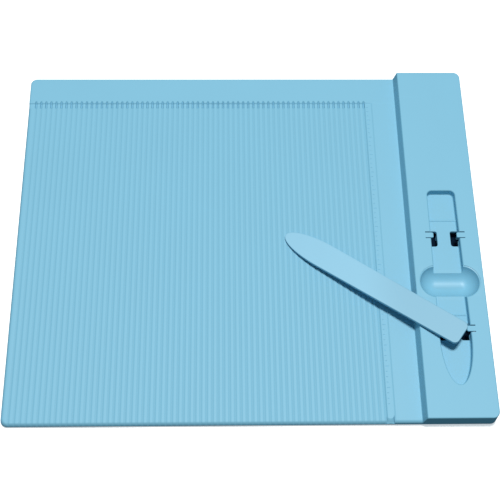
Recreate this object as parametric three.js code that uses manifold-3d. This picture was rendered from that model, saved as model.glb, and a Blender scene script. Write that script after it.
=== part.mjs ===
// A scoring board for card and paper: a grooved deck with a back fence, a tool block at its
// right side with a fitted well, four snap fingers, a bone folder, and four rubber feet.
// Units are millimetres and +Z is up. The board is laid out from its front left corner, and
// the whole group is then centred on its footprint, with the feet standing on z = 0.
import * as THREE from 'three';
import { mergeVertices } from 'three/addons/utils/BufferGeometryUtils.js';
import Module from 'manifold-3d';

// ---------------------------------------------------------------- driving dimensions
const GAP = 0.3; // clearance between two separate pieces that touch

const BOARD = {
  width: 272, // left edge to right edge
  depth: 229.8, // front edge to back edge
  thickness: 2.6, // plate under the scoring field
  cornerRadius: 4,
};

const FIELD = {
  pitch: 3.175, // one eighth of an inch from groove to groove
  grooveWidth: 1.8,
  grooveDepth: 0.45,
  leftMargin: 4, // smooth edge left of the first groove
};

const FENCE = {
  depth: 18.8, // raised band along the back edge
  rise: 0.8, // above the scoring field
  notchDepth: 1.7, // each groove runs this far into the fence
  notchWidth: 1.4,
  pitLength: 3, // deeper end of each groove, in front of the fence
  pitDepth: 0.8, // below the scoring field
};

const STRIP = {
  width: 4, // scale strip between the last groove and the right border
  rise: 0.4,
  frontMargin: 2.8, // where its rounded front end stops
};

const BORDER = {
  width: 15.8, // raised band between the strip and the tool block
  wallRun: 1.5, // plan width of its sloped left wall
};

const BLOCK = {
  topWidth: 39.65,
  height: 10.4, // above the underside of the plate
  wallRun: 1.75, // plan width of its sloped left wall
  edgeRadius: 1,
  skin: 2, // wall thickness of the hollow underside
  ribThickness: 1.6,
  ribPitch: 24,
};

const WELL = {
  offset: 0, // its middle, right of the middle of the block's top
  depth: 4.7,
  backY: 142.7, // rear wall, from the board's front edge
  cornerRadius: 3,
  sideClearance: 1, // on each side of the folder
  noseClearance: 1, // round the folder's pointed end
  endClearance: 2.7, // behind the folder's blunt end
  wall: 1.8,
  ribY: [63, 124.5], // low cross ribs that carry the folder
  ribWidth: 1.2,
  ribRise: 0.4,
};

const SCOOP = {
  y: 82.2,
  length: 34.4, // across the block
  width: 19.6,
  depth: 8.1,
};

const FINGER = {
  y: [52.8, 112.6], // middle of the front pair and of the rear pair
  width: 3.4,
  thickness: 1.4,
  slot: 0.5, // saw-cut width on each side
  overhang: 2, // past the well's wall
  root: 2.8, // behind the well's wall
  lift: 0.1, // the top lies this much under the block's top
};

const WINDOW = {
  reach: 4.9, // from the well's wall towards its middle
  front: 5.3, // from the finger's middle towards the front
  back: 4.65, // and towards the back
  cornerRadius: 1.5,
};

const FOLDER = {
  length: 119.5,
  width: 15.7, // where the pointed end begins
  tailWidth: 14.4, // at the blunt end
  thickness: 2.6,
  noseLength: 27, // pointed end, half an ellipse
  cornerRadius: 3,
  edgeRound: 0.8,
  tipReach: 73.4, // tip to the tool block's top edge, along the board's width
  tipY: 116.4,
  heading: -35.6, // degrees, turned about +Z
};

const FOOT = {
  radius: 5,
  thickness: 1.6,
  stand: 0.8, // what shows under the board
  inset: 12, // from the board's edges
  draft: 0.6, // the rim is this much smaller at the floor
  bossWall: 1.6,
};

// ---------------------------------------------------------------- derived places
const blockEdgeX = BOARD.width - BLOCK.topWidth;
const blockFootX = blockEdgeX - BLOCK.wallRun;
const borderX = blockFootX - BORDER.width;
const zeroX = borderX - STRIP.width; // last groove, where the scale starts
const fenceY = BOARD.depth - FENCE.depth;
const raisedZ = BOARD.thickness + FENCE.rise;
const stripZ = BOARD.thickness + STRIP.rise;
const grooveCount = 1 + Math.floor((zeroX - FIELD.leftMargin) / FIELD.pitch);

const wellX = blockEdgeX + BLOCK.topWidth / 2 + WELL.offset;
const wellHalf = FOLDER.width / 2 + WELL.sideClearance; // where its pointed end begins
const wellTailHalf = FOLDER.tailWidth / 2 + WELL.sideClearance; // at its rear wall
const wellFloorZ = BLOCK.height - WELL.depth;
const wellNoseY = WELL.backY - WELL.endClearance - FOLDER.length - WELL.noseClearance;

const OVER = 5; // how far a cutter runs past the surface that it opens

// ---------------------------------------------------------------- solids
const wasm = await Module();
wasm.setup();

/** Turns a closed three.js geometry into a manifold solid. */
function solidOf(geometry, matrix = new THREE.Matrix4()) {
  const bare = geometry.index ? geometry.toNonIndexed() : geometry.clone();
  bare.deleteAttribute('normal');
  bare.deleteAttribute('uv');
  bare.applyMatrix4(matrix);
  const merged = mergeVertices(bare, 1e-4);
  const mesh = new wasm.Mesh({
    numProp: 3,
    vertProperties: new Float32Array(merged.attributes.position.array),
    triVerts: new Uint32Array(merged.index.array),
  });
  return new wasm.Manifold(mesh);
}

/** Turns a manifold solid back into a three.js geometry. */
function geometryOf(solid) {
  const mesh = solid.getMesh();
  const geometry = new THREE.BufferGeometry();
  geometry.setAttribute('position', new THREE.BufferAttribute(mesh.vertProperties, 3));
  geometry.setIndex(new THREE.BufferAttribute(mesh.triVerts, 1));
  geometry.computeVertexNormals();
  return geometry;
}

/** Plan outline raised from z0 to z1. */
function prism(shape, z0, z1, curveSegments = 8) {
  const geometry = new THREE.ExtrudeGeometry(shape, {
    depth: z1 - z0, bevelEnabled: false, curveSegments,
  });
  return solidOf(geometry, new THREE.Matrix4().makeTranslation(0, 0, z0));
}

/** Section in X and Z, run along the depth of the board from y0 to y1. */
function lengthwise(shape, y0, y1, curveSegments = 3) {
  const geometry = new THREE.ExtrudeGeometry(shape, {
    depth: y1 - y0, bevelEnabled: false, curveSegments,
  });
  const turn = new THREE.Matrix4().makeRotationX(Math.PI / 2);
  return solidOf(geometry, turn.premultiply(new THREE.Matrix4().makeTranslation(0, y1, 0)));
}

function box(x0, x1, y0, y1, z0, z1) {
  const geometry = new THREE.BoxGeometry(x1 - x0, y1 - y0, z1 - z0);
  const place = new THREE.Matrix4().makeTranslation((x0 + x1) / 2, (y0 + y1) / 2, (z0 + z1) / 2);
  return solidOf(geometry, place);
}

/** Upright cylinder. */
function post(x, y, radius, z0, z1) {
  const shape = new THREE.Shape().absarc(x, y, radius, 0, 2 * Math.PI);
  return prism(shape, z0, z1, 14);
}

function roundedRectangle(x0, x1, y0, y1, r) {
  const shape = new THREE.Shape();
  shape.absarc(x1 - r, y0 + r, r, -Math.PI / 2, 0);
  shape.absarc(x1 - r, y1 - r, r, 0, Math.PI / 2);
  shape.absarc(x0 + r, y1 - r, r, Math.PI / 2, Math.PI);
  shape.absarc(x0 + r, y0 + r, r, Math.PI, 1.5 * Math.PI);
  shape.closePath();
  return shape;
}

/** A blade outline along +Y: pointed end at y = 0, narrower blunt end at y = length. */
function bladeOutline(halfWidth, tailHalf, length, noseLength, cornerRadius) {
  const shape = new THREE.Shape();
  shape.absellipse(0, noseLength, halfWidth, noseLength, Math.PI, 2 * Math.PI);
  shape.absarc(tailHalf - cornerRadius, length - cornerRadius, cornerRadius, 0, Math.PI / 2);
  shape.absarc(cornerRadius - tailHalf, length - cornerRadius, cornerRadius, Math.PI / 2, Math.PI);
  shape.closePath();
  return shape;
}

// ---------------------------------------------------------------- board moulding
/** Section across the board: grooves, scale strip, right border and tool block. */
function boardSection() {
  const { grooveWidth: w, grooveDepth: d, pitch } = FIELD;
  const grooveRadius = (w * w / 4 + d * d) / (2 * d);
  const halfAngle = Math.asin(w / 2 / grooveRadius);
  const top = BOARD.thickness;
  const r = BLOCK.edgeRadius;
  const slope = Math.atan2(BLOCK.height - raisedZ, BLOCK.wallRun);
  const shape = new THREE.Shape();
  shape.moveTo(0, 0);
  shape.lineTo(0, top);
  for (let i = grooveCount - 1; i >= 0; i -= 1) {
    const x = zeroX - i * pitch;
    shape.absarc(x, top + grooveRadius - d, grooveRadius,
      1.5 * Math.PI - halfAngle, 1.5 * Math.PI + halfAngle);
  }
  shape.lineTo(zeroX + w / 2, stripZ);
  shape.lineTo(borderX, stripZ);
  shape.lineTo(borderX + BORDER.wallRun, raisedZ);
  shape.lineTo(blockFootX, raisedZ);
  const inset = r * Math.tan(slope / 2);
  shape.absarc(blockEdgeX + inset, BLOCK.height - r, r, Math.PI / 2 + slope, Math.PI / 2, true);
  shape.absarc(BOARD.width - r, BLOCK.height - r, r, Math.PI / 2, 0, true);
  shape.lineTo(BOARD.width, 0);
  shape.closePath();
  return shape;
}

/** The deeper end of each groove, which runs into the front of the fence. */
function fenceNotches() {
  const half = FENCE.notchWidth / 2;
  const endY = fenceY + FENCE.notchDepth;
  const cutters = [];
  for (let i = 0; i < grooveCount; i += 1) {
    const x = zeroX - i * FIELD.pitch;
    const shape = new THREE.Shape();
    shape.moveTo(x - half, fenceY - FENCE.pitLength);
    shape.lineTo(x + half, fenceY - FENCE.pitLength);
    shape.absarc(x, endY - half, half, 0, Math.PI);
    shape.closePath();
    cutters.push(prism(shape, BOARD.thickness - FENCE.pitDepth, raisedZ + OVER, 2));
  }
  return cutters;
}

/** What is cut away in front of the scale strip's rounded end. */
function stripFront() {
  const half = STRIP.width / 2 - FIELD.grooveWidth / 4;
  const middle = borderX - half;
  const shape = new THREE.Shape();
  shape.moveTo(zeroX - FIELD.grooveWidth, -OVER);
  shape.lineTo(borderX, -OVER);
  shape.lineTo(borderX, STRIP.frontMargin + half);
  shape.absarc(middle, STRIP.frontMargin + half, half, 0, Math.PI, true);
  shape.lineTo(zeroX - FIELD.grooveWidth, STRIP.frontMargin + half);
  shape.closePath();
  return prism(shape, BOARD.thickness, raisedZ + OVER, 8);
}

/** The folder's well, as a plan outline grown by a margin. */
function wellOutline(margin) {
  const outline = bladeOutline(
    wellHalf + margin,
    wellTailHalf + margin,
    WELL.backY - wellNoseY + 2 * margin,
    FOLDER.noseLength + WELL.noseClearance + margin,
    WELL.cornerRadius + margin,
  );
  const points = outline.getPoints(14).map(
    (p) => new THREE.Vector2(p.x + wellX, p.y + wellNoseY - margin),
  );
  return new THREE.Shape(points);
}

/** Half the well's width at a distance from the board's front edge, behind its pointed end. */
function wellHalfAt(y) {
  const start = wellNoseY + FOLDER.noseLength + WELL.noseClearance;
  const share = (y - start) / (WELL.backY - WELL.cornerRadius - start);
  return wellHalf + (wellTailHalf - wellHalf) * Math.min(1, Math.max(0, share));
}

/** A trough across the block with ball ends, sunk by the scoop's depth. */
function scoopCutter(margin) {
  const half = SCOOP.width / 2;
  const radius = (half * half + SCOOP.depth * SCOOP.depth) / (2 * SCOOP.depth);
  const z = BLOCK.height - SCOOP.depth + radius;
  const reach = SCOOP.length / 2 - half;
  const profile = new THREE.Path();
  profile.absarc(0, -reach, radius + margin, -Math.PI / 2, 0);
  profile.absarc(0, reach, radius + margin, 0, Math.PI / 2);
  const geometry = new THREE.LatheGeometry(profile.getPoints(7), 28);
  const lie = new THREE.Matrix4().makeRotationZ(Math.PI / 2);
  return solidOf(geometry, lie.premultiply(new THREE.Matrix4().makeTranslation(wellX, SCOOP.y, z)));
}

/** The hollow under the tool block, less the well's and scoop's own walls, ribs and bosses. */
function blockHollow() {
  const x0 = blockEdgeX + BLOCK.skin;
  const x1 = BOARD.width - BLOCK.skin;
  const y0 = BLOCK.skin;
  const y1 = BOARD.depth - BLOCK.skin;
  const roof = BLOCK.height - BLOCK.skin;
  let hollow = box(x0, x1, y0, y1, -OVER, roof);
  hollow = hollow.subtract(prism(wellOutline(WELL.wall), wellFloorZ - WELL.wall, roof + OVER));
  hollow = hollow.subtract(scoopCutter(WELL.wall));
  const half = BLOCK.ribThickness / 2;
  const cells = Math.ceil((y1 - y0) / BLOCK.ribPitch);
  for (let i = 1; i < cells; i += 1) {
    const y = y0 + (i * (y1 - y0)) / cells;
    hollow = hollow.subtract(box(x0 - 1, x1 + 1, y - half, y + half, -OVER - 1, roof + 1));
  }
  hollow = hollow.subtract(box(wellX - half, wellX + half, WELL.backY, y1 + 1, -OVER - 1, roof + 1));
  for (const y of [FOOT.inset, BOARD.depth - FOOT.inset]) {
    const bossRadius = FOOT.radius + GAP + FOOT.bossWall;
    hollow = hollow.subtract(post(BOARD.width - FOOT.inset, y, bossRadius, -OVER - 1, roof + 1));
  }
  return hollow;
}

/** Places of the four feet, from the board's front left corner. */
function footPlaces() {
  const places = [];
  for (const [side, x] of [['left', FOOT.inset], ['right', BOARD.width - FOOT.inset]]) {
    for (const [end, y] of [['front', FOOT.inset], ['rear', BOARD.depth - FOOT.inset]]) {
      places.push({ name: `${end}_${side}_foot`, x, y });
    }
  }
  return places;
}

/** Places of the four snap fingers; side is -1 for the left and 1 for the right. */
function fingerPlaces() {
  const places = [];
  FINGER.y.forEach((y, i) => {
    for (const side of [-1, 1]) {
      const name = `${i ? 'rear' : 'front'}_${side < 0 ? 'left' : 'right'}_snap_finger`;
      places.push({ name, y, side });
    }
  });
  return places;
}

/** Slots beside and under one finger, and the window in the well's floor in front of it. */
function fingerCutters({ y, side }) {
  const half = FINGER.width / 2 + FINGER.slot;
  const across = (a, b) => [wellX + side * a, wellX + side * b].sort((p, q) => p - q);
  const inner = wellHalf - WINDOW.reach;
  const [slotA, slotB] = across(inner, wellHalf + FINGER.root);
  const [windowA, windowB] = across(inner, wellHalfAt(y));
  const slot = box(slotA, slotB, y - half, y + half, -OVER, BLOCK.height + OVER);
  const outline = roundedRectangle(windowA, windowB, y - WINDOW.front, y + WINDOW.back,
    WINDOW.cornerRadius);
  return [slot, prism(outline, -OVER, wellFloorZ + WELL.ribRise + 1, 4)];
}

function boardMoulding() {
  let body = lengthwise(boardSection(), 0, BOARD.depth);
  body = body.add(box(0, blockEdgeX, fenceY, BOARD.depth, 0, raisedZ));
  body = body.subtract(stripFront());
  for (const notch of fenceNotches()) body = body.subtract(notch);
  const plan = roundedRectangle(0, BOARD.width, 0, BOARD.depth, BOARD.cornerRadius);
  body = body.intersect(prism(plan, -OVER, BLOCK.height + OVER));

  body = body.subtract(blockHollow());
  body = body.subtract(prism(wellOutline(0), wellFloorZ, BLOCK.height + OVER));
  for (const y of WELL.ribY) {
    const half = WELL.ribWidth / 2;
    body = body.add(box(wellX - wellHalf - 0.5, wellX + wellHalf + 0.5, y - half, y + half,
      wellFloorZ - 0.5, wellFloorZ + WELL.ribRise));
  }
  body = body.subtract(scoopCutter(0));
  for (const place of fingerPlaces()) {
    for (const cutter of fingerCutters(place)) body = body.subtract(cutter);
  }
  for (const { x, y } of footPlaces()) {
    body = body.subtract(post(x, y, FOOT.radius + GAP, -OVER, FOOT.thickness - FOOT.stand + GAP));
  }
  return geometryOf(body);
}

// ---------------------------------------------------------------- loose and springing pieces
function folderGeometry() {
  const round = FOLDER.edgeRound;
  const outline = bladeOutline(FOLDER.width / 2 - round, FOLDER.tailWidth / 2 - round,
    FOLDER.length - 2 * round, FOLDER.noseLength - round, FOLDER.cornerRadius - round);
  const geometry = new THREE.ExtrudeGeometry(outline, {
    depth: FOLDER.thickness - 2 * round,
    bevelThickness: round,
    bevelSize: round,
    bevelSegments: 3,
    curveSegments: 9,
  });
  geometry.translate(0, round, round);
  return geometryOf(solidOf(geometry));
}

/** A tongue along +X with a rounded tip; its root end is at x = 0. */
function fingerGeometry() {
  const length = FINGER.root + FINGER.overhang - GAP;
  const half = FINGER.width / 2;
  const round = half / 2;
  const outline = new THREE.Shape();
  outline.moveTo(0, -half);
  outline.absarc(length - round, round - half, round, -Math.PI / 2, 0);
  outline.absarc(length - round, half - round, round, 0, Math.PI / 2);
  outline.lineTo(0, half);
  outline.closePath();
  return geometryOf(prism(outline, -FINGER.thickness, 0, 4));
}

function footGeometry() {
  const seat = FOOT.thickness - FOOT.stand;
  const profile = [
    new THREE.Vector2(0, -FOOT.stand),
    new THREE.Vector2(FOOT.radius - FOOT.draft, -FOOT.stand),
    new THREE.Vector2(FOOT.radius, -FOOT.stand / 2),
    new THREE.Vector2(FOOT.radius, seat),
    new THREE.Vector2(0, seat),
  ];
  const upright = new THREE.Matrix4().makeRotationX(Math.PI / 2);
  return geometryOf(solidOf(new THREE.LatheGeometry(profile, 24), upright));
}

// ---------------------------------------------------------------- scene graph
const plastic = { color: 0x86c5e2, roughness: 0.42, metalness: 0 };

function piece(name, geometry, finish) {
  const mesh = new THREE.Mesh(geometry, new THREE.MeshStandardMaterial(finish));
  mesh.name = name;
  return mesh;
}

const scoringBoard = new THREE.Group();
scoringBoard.position.set(-BOARD.width / 2, -BOARD.depth / 2, FOOT.stand);

scoringBoard.add(piece('board_moulding', boardMoulding(), plastic));

// The folder lies askew: its tip on the scoring field, its underside on the block's top edge.
const folderLean = new THREE.Group();
folderLean.position.set(blockEdgeX - FOLDER.tipReach, FOLDER.tipY, BOARD.thickness + GAP);
folderLean.rotation.y = -Math.atan2(BLOCK.height - BOARD.thickness, FOLDER.tipReach);
const folder = piece('bone_folder', folderGeometry(), { color: 0x97cfe8, roughness: 0.4, metalness: 0 });
folder.rotation.z = THREE.MathUtils.degToRad(FOLDER.heading - 90);
folderLean.add(folder);
scoringBoard.add(folderLean);

for (const { name, y, side } of fingerPlaces()) {
  const finger = piece(name, fingerGeometry(), plastic);
  const root = wellHalf + FINGER.root - GAP;
  finger.position.set(wellX + side * root, y, BLOCK.height - FINGER.lift);
  finger.rotation.z = side > 0 ? Math.PI : 0;
  scoringBoard.add(finger);
}

for (const { name, x, y } of footPlaces()) {
  const foot = piece(name, footGeometry(), { color: 0x2b2d30, roughness: 0.85, metalness: 0 });
  foot.position.set(x, y, 0);
  scoringBoard.add(foot);
}

export default scoringBoard;
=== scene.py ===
"""Looks of a plastic scoring board: grooved deck, tool block, snap fingers, bone folder, feet.

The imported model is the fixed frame. Every visible piece is built here at a finer grain than
its plain solid, with rounded edges and its own procedural finish, and rides on its body.
Lengths in the classes are millimetres from the board's front left lower corner, unless a
name or its note says otherwise; Blender's own units are metres.
"""
import logging
import math
from dataclasses import dataclass
from enum import Enum
from functools import cached_property
from typing import Callable, Iterable, Sequence, Union

import bmesh
import bpy
from mathutils import Matrix, Vector


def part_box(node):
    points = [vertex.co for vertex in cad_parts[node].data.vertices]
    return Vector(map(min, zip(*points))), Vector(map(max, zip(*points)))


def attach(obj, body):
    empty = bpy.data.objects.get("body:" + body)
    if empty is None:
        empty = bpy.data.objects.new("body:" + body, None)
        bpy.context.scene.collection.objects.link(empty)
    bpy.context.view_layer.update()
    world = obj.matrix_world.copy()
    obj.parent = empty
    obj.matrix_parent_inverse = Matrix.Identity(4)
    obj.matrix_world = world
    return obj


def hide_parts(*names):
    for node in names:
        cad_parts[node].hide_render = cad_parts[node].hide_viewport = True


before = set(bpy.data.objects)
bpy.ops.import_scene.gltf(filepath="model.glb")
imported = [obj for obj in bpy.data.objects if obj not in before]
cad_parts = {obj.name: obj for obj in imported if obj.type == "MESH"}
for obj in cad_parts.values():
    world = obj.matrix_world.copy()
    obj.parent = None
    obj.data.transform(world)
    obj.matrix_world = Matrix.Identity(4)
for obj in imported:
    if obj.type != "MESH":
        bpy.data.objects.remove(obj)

LOG = logging.getLogger("scoring_board")
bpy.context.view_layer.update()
MM = 0.001  # one millimetre in metres
SPARE = 1.0  # how far a cutter reaches past the surface that it opens
MERGE = 1e-4  # how near two points must be to become one

Point = tuple[float, float, float]
Flat = tuple[float, float]
Colour = tuple[float, float, float]

BOARD_BLUE: Colour = (0.205, 0.503, 0.677)
FOLDER_BLUE: Colour = (0.236, 0.495, 0.655)
RUBBER_BLACK: Colour = (0.03, 0.032, 0.035)
TABLE_WHITE: Colour = (0.86, 0.865, 0.87)
# Near-black sheet under the board: painted shade that the finger windows show.
SHADE_SHEET_INK: Colour = (0.002, 0.011, 0.028)


# ------------------------------------------------------------------ shader expressions
class Axis(Enum):
    """A direction of the board's frame, by its place in a vector."""

    X = 0
    Y = 1
    Z = 2


class NodeTree:
    """A material's node tree, with one way to add a node."""

    def __init__(self, material: bpy.types.Material) -> None:
        """Empties the material's tree.

        Args:
            material: The material whose nodes are built.
        """
        material.use_nodes = True
        self.tree = material.node_tree
        self.tree.nodes.clear()

    def add(self, kind: str, settings: dict | None = None, **inputs: object) -> bpy.types.Node:
        """Adds one node, applies its settings and then fills its sockets.

        Args:
            kind: The node's type, such as "ShaderNodeTexNoise".
            settings: Attributes to set first, such as a Math node's operation.
            **inputs: Socket name, with spaces as underscores, or "i0", "i1" for a socket's
                place, to a value, a socket or a Val.

        Returns:
            The new node.
        """
        node = self.tree.nodes.new(kind)
        for name, value in (settings or {}).items():
            setattr(node, name, value)
        for name, value in inputs.items():
            by_place = name[0] == "i" and name[1:].isdigit()
            socket = node.inputs[int(name[1:])] if by_place else node.inputs[name.replace("_", " ")]
            source = value.socket if isinstance(value, Val) else value
            if isinstance(source, bpy.types.NodeSocket):
                self.tree.links.new(source, socket)
            else:
                socket.default_value = source
        return node

    def value(self, node: bpy.types.Node, output: int = 0) -> "Val":
        """Wraps one output of a node, by its place, for use in expressions."""
        return Val(self, node.outputs[output])

    @cached_property
    def place(self) -> bpy.types.NodeSocket:
        """The object coordinates, in metres."""
        return self.add("ShaderNodeTexCoord").outputs["Object"]

    @cached_property
    def along(self) -> dict[Axis, "Val"]:
        """The object coordinate on each axis, in metres."""
        split = self.add("ShaderNodeSeparateXYZ", Vector=self.place)
        return {axis: self.value(split, axis.value) for axis in Axis}

    def noise(self, scale: float, detail: float, roughness: float = 0.5,
              over: bpy.types.NodeSocket | None = None) -> "Val":
        """Adds a noise.

        Args:
            scale: Its scale.
            detail: Its number of octaves.
            roughness: How strong the finer octaves are.
            over: The coordinates; the object's own if there are none.

        Returns:
            The noise.
        """
        return self.value(self.add("ShaderNodeTexNoise", Vector=over or self.place,
                                   Scale=scale, Detail=detail, Roughness=roughness))

    def graded(self, share: "Val", low: tuple[float, ...], high: tuple[float, ...]
               ) -> bpy.types.NodeSocket:
        """Mixes two colours.

        Args:
            share: 0 for the first colour, 1 for the second.
            low: The first colour.
            high: The second colour.

        Returns:
            The colour socket.
        """
        mix = self.add("ShaderNodeMix", {"data_type": "RGBA"}, i0=share, i6=low, i7=high)
        return mix.outputs[2]


Number = Union[float, "Val"]


class Val:
    """A number socket that Python operators turn into Math nodes."""

    def __init__(self, nodes: NodeTree, socket: bpy.types.NodeSocket) -> None:
        """Wraps a socket.

        Args:
            nodes: The tree that the socket is in.
            socket: A value output.
        """
        self.nodes = nodes
        self.socket = socket

    def _math(self, operation: str, *operands: Number) -> "Val":
        """Adds one Math node.

        Args:
            operation: The node's operation.
            *operands: What goes into its sockets, in order.

        Returns:
            The node's output.
        """
        inputs = {f"i{place}": operand for place, operand in enumerate(operands)}
        node = self.nodes.add("ShaderNodeMath", {"operation": operation}, **inputs)
        return self.nodes.value(node)

    def __add__(self, other: Number) -> "Val":
        """Sum."""
        return self._math("ADD", self, other)

    __radd__ = __add__

    def __sub__(self, other: Number) -> "Val":
        """Difference."""
        return self._math("SUBTRACT", self, other)

    def __rsub__(self, other: Number) -> "Val":
        """Difference, with the number first."""
        return self._math("SUBTRACT", other, self)

    def __mul__(self, other: Number) -> "Val":
        """Product."""
        return self._math("MULTIPLY", self, other)

    __rmul__ = __mul__

    def __truediv__(self, other: Number) -> "Val":
        """Quotient."""
        return self._math("DIVIDE", self, other)

    def __rtruediv__(self, other: Number) -> "Val":
        """Quotient, with the number first."""
        return self._math("DIVIDE", other, self)

    def __abs__(self) -> "Val":
        """Size without its sign."""
        return self._math("ABSOLUTE", self)

    def clamped(self) -> "Val":
        """The value held between 0 and 1."""
        return self._math("MINIMUM", self._math("MAXIMUM", self, 0.0), 1.0)

    def step(self, low: float, high: float) -> "Val":
        """A smooth step from 0 at low to 1 at high."""
        return self.nodes.value(self.nodes.add(
            "ShaderNodeMapRange", {"interpolation_type": "SMOOTHSTEP"},
            Value=self, From_Min=low, From_Max=high))


# ------------------------------------------------------------------ finishes
@dataclass(frozen=True)
class Finish:
    """A procedural finish; each kind builds its own shader.

    Attributes:
        name: The material's name.
        colour: Linear red, green and blue.
    """

    name: str
    colour: Colour

    def material(self) -> bpy.types.Material:
        """Builds the material.

        Returns:
            The finished material.
        """
        made = bpy.data.materials.new(self.name)
        nodes = NodeTree(made)
        nodes.add("ShaderNodeOutputMaterial", Surface=self._shader(nodes).outputs["BSDF"])
        return made

    def _shader(self, nodes: NodeTree) -> bpy.types.Node:
        """The surface's own shader node."""
        raise NotImplementedError

    def _cut(self, share: float, lift: float = 0.0) -> tuple[float, ...]:
        """The colour scaled by a share and lifted, held under 1, with its alpha."""
        return tuple(min(1.0, c * share + lift) for c in self.colour) + (1.0,)


@dataclass(frozen=True)
class EdgeLine:
    """A straight edge that hands and card rub.

    Attributes:
        axis: The direction across the edge.
        place_m: The edge's coordinate on that axis, in metres.
        reach_m: How far the rubbed band reaches to each side, in metres.
    """

    axis: Axis
    place_m: float
    reach_m: float = 0.9 * MM


@dataclass(frozen=True)
class PolishedPatch:
    """A part of the mould that was polished instead of textured.

    Attributes:
        centre_m: Its middle in the frame, in metres.
        half_m: Its half sizes, in metres.
        drop: How much smoother it is.
    """

    centre_m: Point
    half_m: Point
    drop: float = 0.15


class Mark(Enum):
    """A kind of mark on the plastic, with what it adds to the shade and to the roughness."""

    SCUFFED = (0.05, 0.16)
    RUBBED = (0.07, -0.1)
    # Card dust and painted shade low in the grooves: darker and rougher.
    DUSTY = (-0.16, 0.12)


@dataclass(frozen=True)
class MouldedPlastic(Finish):
    """Satin injection-moulded plastic: fine grain, faint mottling, light wear, and dust with
    painted shade in the grooves.

    Attributes:
        roughness: Roughness of an unworn surface.
        mottle: Strength of the slow colour variation.
        grain_m: Size of the mould's grain, in metres.
        grain_height_m: Height of the grain, in metres.
        scuffs: Strength of the hair-fine handling marks.
        dust_and_shade_z_m: Height under which the grooves get card dust and painted shade, or None.
        rubbed: Edges that are rubbed smooth and a little paler.
        polished: Parts that are smoother than the rest.
        pale_from_m: Where along X the colour starts to grow paler.
        pale_to_m: Where it is fully pale; the same value for none.
        pale_lift: How much paler that end is.
    """

    roughness: float = 0.57
    mottle: float = 0.05
    grain_m: float = 0.35 * MM
    grain_height_m: float = 0.006 * MM
    scuffs: float = 0.5
    dust_and_shade_z_m: float | None = None
    rubbed: tuple[EdgeLine, ...] = ()
    polished: tuple[PolishedPatch, ...] = ()
    pale_from_m: float = 0.0
    pale_to_m: float = 0.0
    pale_lift: float = 0.17

    def _shader(self, nodes: NodeTree) -> bpy.types.Node:
        """Mottled colour, varied gloss and a grained relief.

        Args:
            nodes: The tree.

        Returns:
            The shader node.
        """
        clouds = nodes.noise(22.0, 3.0, 0.55)
        flow = nodes.noise(1.0, 4.0, 0.6, self._stretched(nodes, (90.0, 9.0, 90.0)))
        grain = nodes.noise(1.0 / self.grain_m, 2.0, 0.6)
        pebble = nodes.value(nodes.add(
            "ShaderNodeTexVoronoi", {"feature": "SMOOTH_F1"}, Vector=nodes.place,
            Scale=0.55 / self.grain_m, Smoothness=0.8))
        # The dust mark darkens the bottoms of the grooves: card dust and painted shade.
        marks = {Mark.SCUFFED: self._scuff_mask(nodes) * self.scuffs,
                 Mark.RUBBED: self._worn_mask(nodes, clouds),
                 Mark.DUSTY: self._dust_and_shade_mask(nodes, flow)}

        shade = (clouds - 0.5) * self.mottle + (flow - 0.5) * (0.5 * self.mottle)
        if self.pale_from_m != self.pale_to_m:
            # Paler towards pale_to_m along X.
            toward_pale = nodes.along[Axis.X].step(self.pale_from_m, self.pale_to_m)
            shade = shade + toward_pale * self.pale_lift
        rough = self.roughness + (clouds - 0.5) * 0.08
        for mark, mask in marks.items():
            lift, rougher = mark.value
            shade = shade + mask * lift
            rough = rough + mask * rougher
        rough = rough - self._polish_mask(nodes)
        relief = grain * 0.55 + pebble * 0.45 - marks[Mark.SCUFFED] * 0.5
        bump = nodes.add("ShaderNodeBump", Strength=0.55, Distance=self.grain_height_m,
                         Height=relief)
        colour = nodes.graded((shade + 0.5).clamped(), self._cut(0.62), self._cut(1.30, 0.03))
        return nodes.add("ShaderNodeBsdfPrincipled", Base_Color=colour, Roughness=rough.clamped(),
                         IOR=1.49, Normal=bump.outputs["Normal"])

    @staticmethod
    def _stretched(nodes: NodeTree, scale: Point, turn: float = 0.0) -> bpy.types.NodeSocket:
        """Scales the coordinates unevenly, so that a noise runs in streaks.

        Args:
            nodes: The tree.
            scale: The factor on each axis.
            turn: Angle about Z, in radians, that turns the streaks.

        Returns:
            The stretched coordinates.
        """
        mapped = nodes.add("ShaderNodeMapping", {"vector_type": "TEXTURE"}, Vector=nodes.place,
                           Rotation=(0.0, 0.0, turn), Scale=tuple(1.0 / s for s in scale))
        return mapped.outputs["Vector"]

    def _scuff_mask(self, nodes: NodeTree) -> Val:
        """Hair-fine marks in three directions, thinned out by a slow noise.

        Args:
            nodes: The tree.

        Returns:
            The mask, mostly 0.
        """
        marks: Number = 0.0
        for turn, across in ((0.35, 900.0), (-0.8, 1300.0), (1.45, 1100.0)):
            streak = nodes.noise(1.0, 1.0, 0.4, self._stretched(nodes, (across, 14.0, 60.0), turn))
            marks = streak.step(0.70, 0.78) + marks
        patches = nodes.noise(34.0, 1.0)
        return (marks * patches.step(0.48, 0.66)).clamped()

    def _worn_mask(self, nodes: NodeTree, clouds: Val) -> Val:
        """Bands along the rubbed edges, broken up by the clouds.

        Args:
            nodes: The tree.
            clouds: The slow noise.

        Returns:
            The mask.
        """
        mask = clouds * 0.0
        for edge in self.rubbed:
            across = abs(nodes.along[edge.axis] - edge.place_m)
            mask = mask + (1.0 - across / edge.reach_m).clamped()
        return mask.clamped() * clouds.step(0.35, 0.7)

    def _polish_mask(self, nodes: NodeTree) -> Number:
        """How much smoother each place is than the textured surface.

        Args:
            nodes: The tree.

        Returns:
            What is taken off the roughness.
        """
        total: Number = 0.0
        for patch in self.polished:
            inside: Number = patch.drop
            for axis in Axis:
                middle, half = patch.centre_m[axis.value], patch.half_m[axis.value]
                offset = abs(nodes.along[axis] - middle) / half
                inside = offset.step(1.02, 0.94) * inside
            total = inside + total
        return total

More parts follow.
